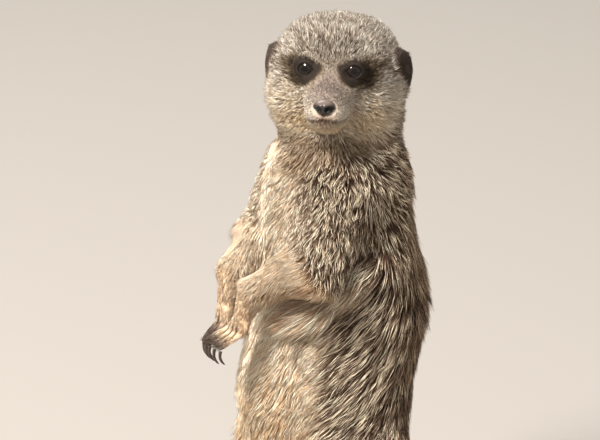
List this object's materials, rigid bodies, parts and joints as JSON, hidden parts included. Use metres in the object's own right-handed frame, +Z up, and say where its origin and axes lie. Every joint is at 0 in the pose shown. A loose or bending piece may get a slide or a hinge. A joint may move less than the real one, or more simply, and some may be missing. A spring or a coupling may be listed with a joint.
{
  "type": "meerkat",
  "caption": "Life-size standing meerkat, upright on its hind feet with the tail laid behind, head turned and forepaws hanging.",
  "frame": {"origin": "middle of the whole model's box, at floor level", "axes": "+Z up; the body faces -Y and its left side is towards +X; the head is turned about 58 degrees to its left; the tail lies behind towards +Y"},
  "size_m": [0.1134, 0.2766, 0.3079],
  "materials": {
    "crown_coat": "short grizzled fur, grey cream with dark brown eye patches",
    "back_coat": "coarse grizzled fur, dark brown below with pale cream tips and darker bands on the lower back",
    "pale_coat": "short cream and tan fur",
    "tail_coat": "short tan fur",
    "dark_coat": "very short black-brown fur",
    "claw_horn": "smooth dark horn, satin",
    "wet_eye": "wet and glossy, dark brown iris",
    "bare_nose": "moist pebbled bare skin"
  },
  "bodies": {
    "root": {"eye_left": "wet_eye", "ear_left": "dark_coat", "eye_right": "wet_eye", "ear_right": "dark_coat", "head": "crown_coat", "nose": "bare_nose", "trunk": "back_coat", "neck": "back_coat", "upper_arm_left": "back_coat", "forearm_left": "pale_coat", "hand_left": "pale_coat", "fore_claw_left_1": "claw_horn", "fore_claw_left_2": "claw_horn", "fore_claw_left_3": "claw_horn", "fore_claw_left_4": "claw_horn", "upper_arm_right": "back_coat", "forearm_right": "pale_coat", "hand_right": "pale_coat", "fore_claw_right_1": "claw_horn", "fore_claw_right_2": "claw_horn", "fore_claw_right_3": "claw_horn", "fore_claw_right_4": "claw_horn", "thigh_left": "back_coat", "shank_left": "pale_coat", "foot_left": "pale_coat", "hind_claw_left_1": "claw_horn", "hind_claw_left_2": "claw_horn", "hind_claw_left_3": "claw_horn", "hind_claw_left_4": "claw_horn", "thigh_right": "back_coat", "shank_right": "pale_coat", "foot_right": "pale_coat", "hind_claw_right_1": "claw_horn", "hind_claw_right_2": "claw_horn", "hind_claw_right_3": "claw_horn", "hind_claw_right_4": "claw_horn", "tail_root": "tail_coat", "tail_middle": "tail_coat", "tail_tip": "dark_coat"}
  },
  "joints": []
}
